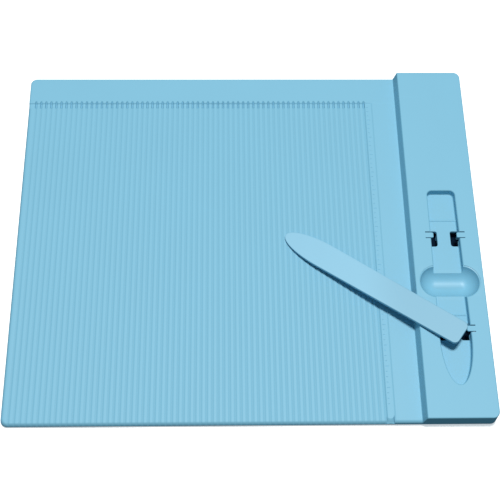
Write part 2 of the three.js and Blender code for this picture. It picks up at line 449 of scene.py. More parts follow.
    def _dust_and_shade_mask(self, nodes: NodeTree, flow: Val) -> Val:
        """Card dust and painted shade low in the grooves.

        Args:
            nodes: The tree.
            flow: The streaked noise.

        Returns:
            The mask, 0 everywhere on a finish without that height.
        """
        if self.dust_and_shade_z_m is None:
            return flow * 0.0
        top, height = self.dust_and_shade_z_m, nodes.along[Axis.Z]
        low = height.step(top, top - 0.45 * MM)
        inside = height.step(top - 1.2 * MM, top - 0.9 * MM)
        return low * inside * (0.7 + flow * 0.6)


@dataclass(frozen=True)
class FootRubber(Finish):
    """Dull moulded rubber with a talc bloom."""

    def _shader(self, nodes: NodeTree) -> bpy.types.Node:
        """A bloomed, finely pored surface.

        Args:
            nodes: The tree.

        Returns:
            The shader node.
        """
        bloom = nodes.noise(260.0, 4.0, 0.65)
        pores = nodes.noise(5200.0, 2.0)
        colour = nodes.graded(bloom.step(0.42, 0.8), self._cut(1.0), self._cut(2.4, 0.01))
        bump = nodes.add("ShaderNodeBump", Strength=0.5, Distance=0.03 * MM, Height=pores)
        return nodes.add("ShaderNodeBsdfPrincipled", Base_Color=colour,
                         Roughness=(0.72 + bloom * 0.22).clamped(), IOR=1.52,
                         Normal=bump.outputs["Normal"])


@dataclass(frozen=True)
class PaleTable(Finish):
    """A plain pale table top that glows a little, as a light table does.

    Attributes:
        glow: Strength of its own light.
    """

    glow: float = 0.55

    def _shader(self, nodes: NodeTree) -> bpy.types.Node:
        """A plain matt surface with its own light."""
        return nodes.add("ShaderNodeBsdfPrincipled", Base_Color=self._cut(1.0), Roughness=0.9,
                         Specular_IOR_Level=0.1, Emission_Color=self._cut(1.0),
                         Emission_Strength=self.glow)


@dataclass(frozen=True)
class PaintedShadeSheet(Finish):
    """A near-black matt sheet with a short nap, laid under the board: painted shade that darkens
    what its windows show.
    """

    def _shader(self, nodes: NodeTree) -> bpy.types.Node:
        """A matt surface, speckled by the nap."""
        colour = nodes.graded(nodes.noise(2500.0, 2.0), self._cut(0.6), self._cut(1.0))
        return nodes.add("ShaderNodeBsdfPrincipled", Base_Color=colour, Roughness=0.95,
                         Specular_IOR_Level=0.1)


# ------------------------------------------------------------------ outlines and meshes
def arc(centre: Flat, radii: Flat, start: float, end: float, steps: int) -> list[Flat]:
    """Points on an upright ellipse's arc.

    Args:
        centre: The middle of the ellipse.
        radii: Its half widths on the first and second axis.
        start: First angle, in degrees.
        end: Last angle, in degrees.
        steps: Number of chords.

    Returns:
        The points, both ends included.
    """
    (x, y), (wide, high) = centre, radii
    angles = [math.radians(start + (end - start) * i / steps) for i in range(steps + 1)]
    return [(x + wide * math.cos(a), y + high * math.sin(a)) for a in angles]


@dataclass(frozen=True)
class Blade:
    """A flat blade's outline along +Y, pointed at y = 0 and blunt at its length.

    Attributes:
        half_width: Half the blade's width where its pointed end begins.
        tail_half: Half its width at the blunt end.
        length: Tip to blunt end.
        nose: Length of the pointed end, which is half an ellipse.
        corner: Radius of the two corners at the blunt end.
    """

    half_width: float
    tail_half: float
    length: float
    nose: float
    corner: float

    def half_at(self, y: float) -> float:
        """Half the blade's width at a distance from its tip, behind the pointed end."""
        share = (y - self.nose) / (self.length - self.corner - self.nose)
        return self.half_width + (self.tail_half - self.half_width) * min(1.0, max(0.0, share))

    def grown(self, margin: float) -> list[Flat]:
        """The outline, moved outward.

        Args:
            margin: How far outward; negative moves it inward.

        Returns:
            The points, anticlockwise, with the same count for every margin.
        """
        half, tail = self.half_width + margin, self.tail_half + margin
        corner = max(0.05, self.corner + margin)
        top = self.length + margin
        nose = arc((0.0, self.nose), (half, self.nose + margin), 180.0, 360.0, 56)
        right = arc((tail - corner, top - corner), (corner, corner), 0.0, 90.0, 9)
        left = arc((corner - tail, top - corner), (corner, corner), 90.0, 180.0, 9)
        return nose + right + left


@dataclass(frozen=True)
class Stadium:
    """A slot's outline with round ends, along X.

    Attributes:
        reach: Half the distance between the two end centres.
        radius: Radius of the ends.
    """

    reach: float
    radius: float

    def grown(self, margin: float) -> list[Flat]:
        """The outline, moved outward.

        Args:
            margin: How far outward; negative moves it inward.

        Returns:
            The points, anticlockwise.
        """
        radius = max(0.02, self.radius + margin)
        right = arc((self.reach, 0.0), (radius, radius), -90.0, 90.0, 28)
        left = arc((-self.reach, 0.0), (radius, radius), 90.0, 270.0, 28)
        return right + left


@dataclass(frozen=True)
class RoundedBox:
    """A rectangle with its own radius at each corner.

    Attributes:
        low: Lowest corner.
        high: Highest corner.
        radii: Corner radii, anticlockwise from the lowest corner.
    """

    low: Flat
    high: Flat
    radii: tuple[float, float, float, float]

    def grown(self, margin: float) -> list[Flat]:
        """The outline, moved outward.

        Args:
            margin: How far outward; negative moves it inward.

        Returns:
            The points, anticlockwise.
        """
        x0, y0 = self.low[0] - margin, self.low[1] - margin
        x1, y1 = self.high[0] + margin, self.high[1] + margin
        points: list[Flat] = []
        corners = ((x0, y0, 1, 1, 180.0), (x1, y0, -1, 1, 270.0), (x1, y1, -1, -1, 0.0),
                   (x0, y1, 1, -1, 90.0))
        for (x, y, sx, sy, start), radius in zip(corners, self.radii):
            r = max(0.02, radius + margin)
            points += arc((x + sx * r, y + sy * r), (r, r), start, start + 90.0, 6)
        return points


class Combine(Enum):
    """What a boolean does with the other body."""

    CUT = "DIFFERENCE"
    JOIN = "UNION"


class Body:
    """A closed mesh in millimetres that other bodies can cut or join."""

    def __init__(self, name: str, rings: Sequence[Sequence[Point]]) -> None:
        """Skins a closed body over rings of equal length, with both ends filled.

        Args:
            name: The object's name.
            rings: The rings in order, each anticlockwise seen from the last ring's side.
        """
        mesh = bpy.data.meshes.new(name)
        count = len(rings[0])
        points = [point for ring in rings for point in ring]
        faces: list[list[int]] = [list(range(count))[::-1]]
        for level in range(len(rings) - 1):
            low, high = level * count, (level + 1) * count
            for i in range(count):
                j = (i + 1) % count
                faces.append([low + i, low + j, high + j, high + i])
        last = (len(rings) - 1) * count
        faces.append([last + i for i in range(count)])
        mesh.from_pydata(points, [], faces)
        self.object = bpy.data.objects.new(name, mesh)
        bpy.context.scene.collection.objects.link(self.object)
        work = bmesh.new()
        work.from_mesh(mesh)
        bmesh.ops.remove_doubles(work, verts=work.verts, dist=MERGE)
        bmesh.ops.dissolve_degenerate(work, edges=work.edges, dist=MERGE)
        bmesh.ops.recalc_face_normals(work, faces=work.faces)
        work.to_mesh(mesh)
        work.free()

    def moved(self, x: float, y: float) -> "Body":
        """Moves the body along X and Y and returns it."""
        self.object.data.transform(Matrix.Translation((x, y, 0.0)))
        return self

    def absorb(self, other: "Body") -> None:
        """Moves the mesh of a body that lies apart into this one, with no boolean.

        Args:
            other: The body to use up.
        """
        work = bmesh.new()
        for mesh in (self.object.data, other.object.data):
            work.from_mesh(mesh)
        work.to_mesh(self.object.data)
        work.free()
        bpy.data.objects.remove(other.object)

    def _combine(self, others: Iterable["Body"], how: Combine) -> "Body":
        """Applies booleans and takes the other bodies away.

        Args:
            others: The bodies to use up.
            how: What to do with them.

        Returns:
            The same body, changed.
        """
        for other in others:
            change = self.object.modifiers.new(how.name, "BOOLEAN")
            change.operation = how.value
            change.solver = "EXACT"
            change.object = other.object
            bpy.context.view_layer.update()
            graph = bpy.context.evaluated_depsgraph_get()
            result = bpy.data.meshes.new_from_object(self.object.evaluated_get(graph))
            self.object.modifiers.clear()
            self.object.data = result
            bpy.data.objects.remove(other.object)
        return self

    def cut(self, *others: "Body") -> "Body":
        """Cuts the other bodies out of this one."""
        return self._combine(others, Combine.CUT)

    def joined(self, *others: "Body") -> "Body":
        """Joins the other bodies to this one."""
        return self._combine(others, Combine.JOIN)

    def finished(self, origin: Vector, finish: bpy.types.Material, crease: float = 32.0
                 ) -> bpy.types.Object:
        """Scales the body to metres, sets it in the frame and dresses it.

        Args:
            origin: Where the body's own origin lies in the frame, in metres.
            finish: Its material.
            crease: Angle in degrees above which an edge stays sharp.

        Returns:
            The Blender object.
        """
        made = self.object
        made.data.transform(Matrix.Translation(origin) @ Matrix.Scale(MM, 4))
        made.data.materials.clear()
        made.data.materials.append(finish)
        made.data.shade_smooth()
        made.data.set_sharp_from_angle(angle=math.radians(crease))
        evened = made.modifiers.new("even_shading", "WEIGHTED_NORMAL")
        evened.keep_sharp = True
        evened.weight = 100
        return made


def lofted(name: str, outline: Callable[[float], Sequence[Flat]], levels: Sequence[Flat]) -> Body:
    """A body whose outline grows and shrinks with height.

    Args:
        name: The object's name.
        outline: Gives the outline for a margin.
        levels: Pairs of margin and height, from the lowest up.

    Returns:
        The body.
    """
    return Body(name, [[(x, y, height) for x, y in outline(margin)] for margin, height in levels])


def sunk_levels(floor: float, top: float, rim: float, foot: float) -> list[Flat]:
    """Margins and heights of a cutter that leaves a rounded rim and a rounded floor edge.

    Args:
        floor: Height of the pocket's floor.
        top: Height of the surface that it opens.
        rim: Radius of the rim.
        foot: Radius where the wall meets the floor.

    Returns:
        The levels, from the floor up.
    """
    levels = [(-foot * (1 - math.sin(a)), floor + foot * (1 - math.cos(a)))
              for a in map(math.radians, range(0, 91, 18))]
    levels += [(rim * (1 - math.cos(a)), top - rim + rim * math.sin(a))
               for a in map(math.radians, range(0, 76, 15))]
    margin, height = levels[-1]
    flare = 0.4 * rim
    return levels + [(margin + flare, height + 0.27 * flare), (margin + flare, top + SPARE)]


# ------------------------------------------------------------------ the board
class Side(Enum):
    """A side of the well, by its sign along X."""

    LEFT = -1
    RIGHT = 1


@dataclass
class BoardMoulding:
    """The one-piece deck: grooved field, fence, scale strip, border and tool block.

    Attributes:
        origin: The front left lower corner in the frame, in metres.
        width: Left edge to right edge.
        depth: Front edge to back edge.
        block_height: Height of the tool block.
        thickness: Plate thickness under the field.
        edge: Radius of the plate's top edges.
        back_edge: Radius of its top edge at the back.
        edge_blend: Distance in front of the fence over which the edge sharpens.
        lip: Height of the upright edge under the round one.
        under_edge: Bevel of the plate's bottom edge.
        corner: Plan radius of the corners.
        pitch: Groove to groove.
        groove_half: Half the groove's width at the surface.
        groove_depth: Depth of a groove.
        left_margin: Smooth edge left of the first groove.
        fence_depth: Depth of the raised band at the back.
        fence_rise: Height of the fence above the field.
        notch_depth: How far a groove runs into the fence.
        pit_length: Length of the deeper groove end in front of the fence.
        pit_depth: Depth of that end below the field.
        runout: Length over which its floor climbs to the fence's top.
        strip_width: Width of the scale strip.
        strip_rise: Height of the strip above the field.
        strip_front: Distance of its front end from the board's front edge.
        border_width: Width of the raised border right of the strip.
        border_run: Plan width of the border's sloped wall.
        block_top: Width of the tool block's top.
        block_run: Plan width of the block's sloped wall.
        block_edge: Radius of the block's top edges.
        block_fillet: Radius at the foot of that wall.
        skin: Wall thickness of the hollow underside.
        wall: Wall thickness round the well and the scoop.
        stiffener: Half the thickness of the ribs under the block.
        stiffener_gap: Most that lies between two of them.
        well: The well's outline.
        well_depth: Depth of the well.
        well_back: The well's rear wall, from the front edge.
        rib_places: Middle of each cross rib in the well, from the front edge.
        scoop_y: Middle of the thumb scoop.
        scoop: Half length, half width and depth of the scoop.
        finger_places: Middle of the front and rear finger pair.
        finger_slot_half: Half the width of a finger and its two slots.
        finger_root: Depth of the slots behind the well's wall.
        window_reach: Size of a window from the well's wall inward.
        window_front: Reach of a window in front of the finger's middle.
        window_back: Its reach behind the finger's middle.
        tick_gap: Distance from the last groove to the ticks.
        short_tick: Length of a plain tick.
        long_tick: Length of every fourth one.
        tick_half: Half a tick's width at its bottom.
        tick_depth: Depth of a tick.
    """

    origin: Vector
    width: float
    depth: float
    block_height: float
    thickness: float = 2.6
    edge: float = 2.2
    back_edge: float = 1.0
    edge_blend: float = 12.0
    lip: float = 0.45
    under_edge: float = 0.35
    corner: float = 4.0
    pitch: float = 3.175
    groove_half: float = 0.95
    groove_depth: float = 0.25
    left_margin: float = 4.0
    fence_depth: float = 18.8
    fence_rise: float = 0.8
    notch_depth: float = 1.7
    pit_length: float = 3.0
    pit_depth: float = 0.95
    runout: float = 2.4
    strip_width: float = 4.0
    strip_rise: float = 0.4
    strip_front: float = 2.8
    border_width: float = 15.8
    border_run: float = 1.5
    block_top: float = 39.65
    block_run: float = 1.75
    block_edge: float = 0.8
    block_fillet: float = 0.5
    skin: float = 2.0
    wall: float = 1.8
    stiffener: float = 0.8
    stiffener_gap: float = 24.0
    well: Blade = Blade(8.85, 8.2, 123.2, 28.0, 3.0)
    well_depth: float = 4.7
    well_back: float = 142.7
    rib_places: tuple[float, ...] = (63.0, 124.5)
    scoop_y: float = 82.2
    scoop: Point = (17.2, 9.8, 8.1)
    finger_places: tuple[float, ...] = (52.8, 112.6)
    finger_slot_half: float = 2.2
    finger_root: float = 2.8
    window_reach: float = 4.9
    window_front: float = 5.3
    window_back: float = 4.65
    tick_gap: float = 0.45
    short_tick: float = 1.3
    long_tick: float = 2.1
    tick_half: float = 0.05
    tick_depth: float = 0.18

    def __post_init__(self) -> None:
        """Works out the places that follow from the sizes."""
        self.block_x = self.width - self.block_top
        self.foot_x = self.block_x - self.block_run
        self.border_x = self.foot_x - self.border_width
        self.zero_x = self.border_x - self.strip_width
        self.fence_y = self.depth - self.fence_depth
        self.raised = self.thickness + self.fence_rise
        self.strip = self.thickness + self.strip_rise
        self.well_x = self.block_x + self.block_top / 2
        self.well_floor = self.block_height - self.well_depth
        count = 1 + int((self.zero_x - self.left_margin) / self.pitch)
        self.grooves = [self.zero_x - i * self.pitch for i in range(count)][::-1]

    # -- the blank ---------------------------------------------------------------
    def _groove_row(self, y: float) -> tuple[float, float, list[Flat]]:
        """The shape across one groove at one distance from the front edge.

        Args:
            y: Distance from the front edge.

        Returns:
            The height of the bands beside the groove, the height of its bottom, and pairs of
            offset and depth share, from its left lip to its right lip.
        """
        soft = ((1.16, 0.0), (1.02, 0.03), (0.9, 0.12), (0.7, 0.38), (0.45, 0.72), (0.22, 0.93),
                (0.0, 1.0))
        steep = ((0.84, 0.0), (0.72, 0.07), (0.58, 0.38), (0.44, 0.74), (0.3, 0.94), (0.15, 0.99),
                 (0.0, 1.0))
        into, blend = y - self.fence_y, 1.2
        pit = self._eased((into + self.pit_length + 0.5) / blend)
        level = self.thickness + self.fence_rise * self._eased((into + blend / 2) / blend)
        groove_floor = self.thickness - self.groove_depth
        floor = groove_floor + (self.thickness - self.pit_depth - groove_floor) * pit
        past = min(1.0, max(0.0, (into - self.notch_depth + self.runout) / self.runout))
        floor += (self.raised - floor) * past ** 1.5
        narrow = 1.0 - 0.5 * past ** 3
        left = []
        for (wide, shallow), (close, deep) in zip(soft, steep):
            offset = self.groove_half * (wide + (close - wide) * pit) * narrow
            left.append((-offset, shallow + (deep - shallow) * pit))
        return level, floor, left + [(-x, share) for x, share in left[-2::-1]]

    @staticmethod
    def _eased(value: float) -> float:
        """A smooth step from 0 to 1, held at its ends."""
        held = min(1.0, max(0.0, value))
        return held * held * (3.0 - 2.0 * held)

    def _row(self, y: float) -> list[Flat]:
        """The surface across the board at one distance from the front edge.

        Args:
            y: Distance from the front edge.

        Returns:
            Pairs of place along X and height, from the left edge to the right edge.
        """
        level, floor, shape = self._groove_row(y)
        points: list[Flat] = []
        for middle in self.grooves:
            last = middle == self.grooves[-1]
            for x, share in shape:
                beside = max(level, self.strip) if last and x > 0.0 else level
                points.append((middle + x, beside * (1 - share) + floor * share))
        return points + [(x, max(z, level)) for x, z in self._right_profile()]

    def _right_profile(self) -> list[Flat]:
        """The section right of the last groove: strip, border, and tool block.

        Returns:
            Pairs of place along X and height.
        """
        top, r, fillet = self.block_height, self.block_edge, self.block_fillet
        slope = math.atan2(top - self.raised, self.block_run)
        lean = math.degrees(slope)
        inset, low = r * math.tan(slope / 2), fillet * math.tan(slope / 2)
        foot = arc((self.foot_x - low, self.raised + fillet), (fillet, fillet),
                   270.0, 270.0 + lean, 5)
        edge = arc((self.block_x + inset, top - r), (r, r), 90.0 + lean, 90.0, 6)
        rise, dip = self.raised - self.strip, 0.12
        ramp = [(self.border_x + self.border_run * t,
                 self.strip + rise * self._eased(t) - dip * math.sin(math.pi * t))
                for t in (0.0, 0.12, 0.25, 0.4, 0.55, 0.7, 0.85, 1.0)]
        return ramp + foot + edge

    def _rows(self) -> list[float]:
        """Where the blank gets a ring.

        Returns:
            Distances from the front edge, close together where the surface turns.
        """
        turns = [math.radians(a) for a in range(0, 91, 9)]
        ends = [r * (1 - math.cos(a)) for r in (self.edge, self.corner) for a in turns]
        ends += [self.block_edge * (1 - math.cos(a)) for a in turns[:-1:2]]
        pit_y = self.fence_y - self.pit_length
        pit = [pit_y + v for v in (-0.5, -0.3, -0.1, 0.1, 0.3, 0.5, 0.7)]
        wall = [self.fence_y - 0.6 + 0.15 * i for i in range(9)]
        notch = [self.fence_y + self.notch_depth + self.runout * (i / 14 - 1) for i in range(15)]
        rows = sorted(ends + pit + wall + notch + [self.depth - v for v in ends])
        return [y for i, y in enumerate(rows) if i == 0 or y - rows[i - 1] > 0.004]

    def _inset(self, x: float, y: float) -> float:
        """Distance from a point inside the plan to its outline, with round corners.

        Args:
            x: Place along X.
            y: Place along Y.

        Returns:
            The distance, never under 0.
        """
        side, end = min(x, self.width - x), min(y, self.depth - y)
        if side < self.corner and end < self.corner:
            reach = math.hypot(self.corner - side, self.corner - end)
            return max(0.0, self.corner - reach)
        return max(0.0, min(side, end))

    def _edge_at(self, x: float, y: float) -> float:
        """Radius of the nearest top edge.

        Args:
            x: Place along X.
            y: Place along Y.

        Returns:
            The radius: softest at the front of the low deck.
        """
        behind = self._eased((y - self.fence_y + self.edge_blend) / self.edge_blend)
        deck = self.edge + (self.back_edge - self.edge) * behind
        share = (x - self.foot_x) / self.block_run
        return deck + (self.block_edge - deck) * self._eased(share)

    @staticmethod
    def _fallen(distance: float, radius: float) -> float:
        """How far a round edge has fallen.

        Args:
            distance: Distance inside the outline.
            radius: The edge's radius.

        Returns:
            The drop below the flat surface.
        """
        if distance >= radius:
            return 0.0
        return radius - math.sqrt(max(0.0, radius ** 2 - (radius - distance) ** 2))

    def blank(self) -> Body:
        """Skins the deck over rings that run from the front edge to the back edge."""
        return Body("board_moulding_skin", [self._ring(y) for y in self._rows()])

    def _ring(self, y: float) -> list[Point]:
        """One closed ring round the deck, with its edges and corners rounded.

        Args:
            y: Distance from the front edge.

        Returns:
            The ring's points.
        """
        near = min(y, self.depth - y)
        left = self._fallen(near, self.corner)
        right = self.width - left
        surface = self._row(y)
        smooth = surface[0][1]
        turns = [math.radians(a) for a in range(0, 91, 15)]
        rim = [(left + self.edge * (1 - math.cos(a)), smooth) for a in turns]
        rim_right = [(right - self.block_edge * (1 - math.cos(a)), self.block_height)
                     for a in turns[::-1]]
        apart = 0.02
        low_x, high_x = rim[-1][0] + apart, rim_right[0][0] - apart
        inside = [(min(x, high_x), z) if x > low_x else (low_x, smooth) for x, z in surface]
        top = []
        for x, z in rim + inside + rim_right:
            fallen = z - self._fallen(self._inset(x, y), self._edge_at(x, y))
            top.append((x, y, max(fallen, self.lip)))
        bevel = self.under_edge
        tuck = bevel - bevel * min(1.0, near / bevel)
        under = [(left + bevel, y, tuck), (left, y, bevel)]
        return under + top + [(right, y, bevel), (right - bevel, y, tuck)]

    # -- what is cut and added ---------------------------------------------------
    def _box(self, low: Point, high: Point) -> Body:
        """A plain box between two corners."""
        (x0, y0, z0), (x1, y1, z1) = low, high
        return Body("cutter", [[(x0, y0, z), (x1, y0, z), (x1, y1, z), (x0, y1, z)]
                               for z in (z0, z1)])

    def strip_end(self) -> Body:
        """What is cut away in front of the scale strip's round, sloping end.

        Returns:
            The cutter, its rings running from left to right.
        """
        left, right = self.zero_x + 0.25 * self.groove_half, self.border_x + 0.5
        half, top, steps = (right - left) / 2, self.strip, 14
        rings = []
        for i in range(steps + 1):
            across = -1.0 + 2.0 * i / steps
            x = left + half * (1.0 + across)
            end = self.strip_front + half * (1 - math.sqrt(1 - min(1.0, across ** 2)))
            slope = [(end + 1.0, top + 0.9), (end, top + 0.02), (end - 0.25, top - 0.07),
                     (end - 0.6, top - 0.26), (end - 1.8, top - 1.0), (-1.0, top - 2.0),
                     (-1.0, top + 3.0), (end + 1.0, top + 3.0)]
            rings.append([(x, y, z) for y, z in slope])
        return Body("cutter", rings)

    def scale_ticks(self) -> Body:
        """Ticks across the scale strip, one for each pitch and longer each half inch.

        Returns:
            The cutter that engraves them all.
        """
        left, half = self.zero_x + self.groove_half + self.tick_gap, self.tick_half
        levels = ((0.02, self.strip - self.tick_depth), (0.16, self.strip + 0.02),
                  (0.17, self.strip + 0.6))
        made: list[Body] = []
        for i in range(1, int((self.fence_y - self.strip_front - 6.0) / self.pitch) + 1):
            y = self.fence_y - i * self.pitch
            right = left + (self.short_tick if i % 4 else self.long_tick)
            made.append(Body("cutter", [
                [(left + e, y - half - e, z), (right - e, y - half - e, z),
                 (right - e, y + half + e, z), (left + e, y + half + e, z)] for e, z in levels]))
        for tick in made[1:]:
            made[0].absorb(tick)
        return made[0]

    def well_cutter(self) -> Body:
        """The folder's well, with a rounded rim and floor edge.

        Returns:
            The cutter.
        """
        levels = sunk_levels(self.well_floor, self.block_height, 0.8, 0.9)
        made = lofted("cutter", self.well.grown, levels)
        return made.moved(self.well_x, self.well_back - self.well.length)

    def scoop_cutter(self) -> Body:
        """The thumb scoop: a trough across the block with ball ends and a soft rim.

        Returns:
            The cutter.
        """
        half_length, half_width, drop = self.scoop
        radius = (half_width ** 2 + drop ** 2) / (2 * drop)
        top, centre = self.block_height, self.block_height - drop + radius
        stadium = Stadium(half_length - half_width, half_width)
        levels = [(0.06 - half_width, top - drop)]
        steps, step = 14, math.radians(6.1)
        widest = 0.985 * half_width
        for i in range(1, steps + 1):
            width = widest * math.sin(step * i) / math.sin(step * steps)
            levels.append((width - half_width, centre - math.sqrt(radius ** 2 - width ** 2)))
        margin, height = levels[-1]
        levels += [(margin + 0.1, height + 0.1), (margin + 0.28, height + 0.2),
                   (margin + 0.75, height + 0.32), (margin + 0.75, top + SPARE)]
        return lofted("cutter", stadium.grown, levels).moved(self.well_x, self.scoop_y)

    def scoop_patch(self) -> PolishedPatch:
        """The scoop's own volume, in the frame.

        Returns:
            The patch that is polished.
        """
        half_length, half_width, drop = self.scoop
        half = Vector((half_length, half_width, 0.5 * drop + 0.3))
        middle = Vector((self.well_x, self.scoop_y, self.block_height - 0.5 * drop - 0.2))
        return PolishedPatch(tuple(self.origin + middle * MM), tuple(half * MM))

    def finger_cutters(self) -> list[Body]:
        """The slots round each finger and the window in front of it.

        Returns:
            The cutters, a slot and a window for each finger.
        """
        cutters = []
        wall, half, floor = self.well.half_width, self.finger_slot_half, self.well_floor
        inner, outer = wall - self.window_reach, wall + self.finger_root
        levels = [(0.0, -SPARE), (0.0, floor - 0.3), (0.12, floor - 0.06), (0.4, floor + 0.03),
                  (0.4, floor + 0.3)]
        for y in self.finger_places:
            beside = self.well.half_at(y - self.well_back + self.well.length) + 0.01
            for side in Side:
                a, b = sorted(self.well_x + side.value * x for x in (inner, outer))
                cutters.append(self._box((a, y - half, -2 * SPARE),
                                         (b, y + half, self.block_height + SPARE)))
                a, b = sorted(self.well_x + side.value * x for x in (inner, beside))
                radii = (0.3, 1.5, 1.0, 0.3) if side is Side.LEFT else (1.5, 0.3, 0.3, 1.0)
                window = RoundedBox((a, y - self.window_front), (b, y + self.window_back), radii)
                cutters.append(lofted("cutter", window.grown, levels))
        return cutters

    def ribs(self) -> list[Body]:
        """The low cross ribs in the well's floor, with round backs.

        Returns:
            The ribs.
        """
        made = []
        half = self.well.half_width + 0.3
        wide, high, root = 0.62, 0.42, self.well_floor - 0.4
        for y in self.rib_places:
            back = arc((y, self.well_floor), (wide, high), 0.0, 180.0, 8)
            section = [(y + wide, root)] + back + [(y - wide, root)]
            made.append(Body("rib", [[(self.well_x + x, v, z) for v, z in section]
                                     for x in (-half, half)]))
        return made

    def hollow(self) -> Body:
        """The hollow under the tool block, less the walls of the well and scoop, and ribs.

        Returns:
            The cutter.
        """
        x0, x1 = self.block_x + self.skin, self.width - self.skin
        y0, y1 = self.skin, self.depth - self.skin
        roof, wall, rib = self.block_height - self.skin, self.wall, self.stiffener
        over, below = roof + SPARE, -3 * SPARE
        made = self._box((x0, y0, -2 * SPARE), (x1, y1, roof))
        sleeve = lofted("cutter", self.well.grown, [(wall, self.well_floor - wall), (wall, over)])
        made.cut(sleeve.moved(self.well_x, self.well_back - self.well.length))
        half_length, half_width, drop = self.scoop
        cup = Stadium(half_length - half_width, half_width)
        levels = [(wall - half_width * s, self.block_height - wall - drop * d)
                  for s, d in ((0.75, 1.0), (0.4, 0.9), (0.12, 0.6), (0.0, 0.0))]
        levels.append((wall, over))
        made.cut(lofted("cutter", cup.grown, levels).moved(self.well_x, self.scoop_y))
        cells = math.ceil((y1 - y0) / self.stiffener_gap)
        for i in range(1, cells):
            y = y0 + i * (y1 - y0) / cells
            made.cut(self._box((x0 - SPARE, y - rib, below), (x1 + SPARE, y + rib, over)))
        made.cut(self._box((self.well_x - rib, self.well_back, below),
                           (self.well_x + rib, y1 + SPARE, over)))
        return made

    def build(self, finish: bpy.types.Material, feet: Sequence["RubberFoot"]) -> bpy.types.Object:
        """Makes the whole moulding.

        Args:
            finish: Its material.
            feet: The feet that need a seat in its underside.

        Returns:
            The Blender object.
        """
        body = self.blank()
        hollow = self.hollow()
        for foot in feet:
            hollow.cut(foot.boss(self.origin))
        body.cut(self.strip_end(), hollow, self.well_cutter())
        body.joined(*self.ribs())
        body.cut(self.scoop_cutter(), *self.finger_cutters())
        body.cut(*(foot.seat(self.origin) for foot in feet))
        body.cut(self.scale_ticks())
        return body.finished(self.origin, finish)


@dataclass
class SnapFinger:
    """A tongue moulded at the well's edge that bends as the folder is pressed past it.

    Attributes:
        node: The node that this piece stands for.
        body: The body that it rides on.
        side: The side of the well that it grows from.
        top: Height of the block's top in the frame, in metres.
        width: Width of the tongue.
        thickness: Its thickness.
        gap: The gap at its root that the visible tongue closes.
        sunk: How far it lies under the block's top.
        tip: Length of its rounded end.
        edge: Radius of its top edges.
        under_edge: Radius of its bottom edges.
    """

    node: str
    body: str
    side: Side
    top: float
    width: float = 3.4
    thickness: float = 1.4
    gap: float = 0.3
    sunk: float = 0.03
    tip: float = 1.5
    edge: float = 0.28
    under_edge: float = 0.15

    def _section(self, x: float, length: float) -> list[Point]:
        """The tongue's section at a distance from its root, slimmer and narrower at the tip.

        Args:
            x: Distance from the block's wall.
            length: The tongue's length.

        Returns:
            The section's points, anticlockwise seen from the tip.
        """
        into = max(0.0, (x - (length - self.tip)) / self.tip)
        rounded = 1 - math.sqrt(max(0.0, 1 - into ** 2))
        side, slim = self.width / 2 - 0.55 * rounded, 1.1 * rounded
        top, bottom = -self.sunk - 0.3 * slim, -self.thickness + 0.45 * slim
        r, low = self.edge, self.under_edge
        section = arc((side - r, top - r), (r, r), 0.0, 90.0, 4)
        section += arc((r - side, top - r), (r, r), 90.0, 180.0, 4)
        section += arc((r - side, bottom + low), (low, low), 180.0, 270.0, 2)
        section += arc((side - r, bottom + low), (low, low), 270.0, 360.0, 2)
        return [(x, y, z) for y, z in section]

    def build(self, finish: bpy.types.Material) -> bpy.types.Object:
        """Makes the tongue, rounded at its tip and with its root in the block.

        Args:
            finish: Its material.

        Returns:
            The Blender object.
        """
        low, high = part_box(self.node)
        length = (high.x - low.x) / MM
        places = [-self.gap - 0.02, 0.6, length * 0.45]
        places += [length - self.tip + self.tip * math.sin(math.radians(a))
                   for a in range(0, 91, 15)]
        made = Body(f"{self.node}_skin", [self._section(x, length) for x in places])
        root_x = low.x
        if self.side is Side.RIGHT:
            made.object.data.transform(Matrix.Rotation(math.pi, 4, "Z"))
            root_x = high.x
        return made.finished(Vector((root_x, (low.y + high.y) / 2, self.top)), finish, 45.0)


@dataclass
class BoneFolder:
    """The loose blade that creases the card.

    Attributes:
        node: The node that this piece stands for.
        rise: Height of the block's edge, which carries it, above the deck under its tip.
        reach: Distance along the board from its tip to that edge.
        blade: Its outline.
        thickness: Its thickness.
        thin_share: Share of the thickness that is left at the very tip.
        thin_length: Distance from the tip over which it thins.
        heading: Turn about Z from +Y to where its blunt end points, in degrees.
    """

    node: str
    rise: float
    reach: float = 73.4
    blade: Blade = Blade(7.85, 7.2, 119.5, 27.0, 3.0)
    thickness: float = 2.58
    thin_share: float = 0.42
    thin_length: float = 46.0
    heading: float = -125.6

    def build(self, finish: bpy.types.Material) -> bpy.types.Object:
        """Makes the blade with full round edges and a slightly crowned back.

        Args:
            finish: Its material.

        Returns:
            The Blender object.
        """
        t = self.thickness
        under = [(-1.2, 0.0), (-0.7, 0.04), (-0.35, 0.16), (-0.12, 0.38), (-0.02, 0.7), (0.0, 1.1)]
        over = [(0.0, t - 0.42), (-0.03, t - 0.26), (-0.1, t - 0.14), (-0.22, t - 0.06),
                (-0.4, t - 0.02), (-0.9, t)]
        made = lofted(f"{self.node}_skin", self.blade.grown, under + over)
        mesh = made.object.data
        for vertex in mesh.vertices:
            share = min(1.0, max(0.0, vertex.co.y / self.thin_length))
            vertex.co.z *= self.thin_share + (1.0 - self.thin_share) * share * (2.0 - share)
        lean = Matrix.Rotation(-math.atan2(self.rise, self.reach), 4, "Y")
        mesh.transform(lean @ Matrix.Rotation(math.radians(self.heading), 4, "Z"))
        spans = zip(*(vertex.co for vertex in mesh.vertices))
        middle = Vector([(min(span) + max(span)) / 2 for span in spans])
        mesh.transform(Matrix.Translation(-middle))
        low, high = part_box(self.node)
        return made.finished((low + high) / 2, finish, 60.0)


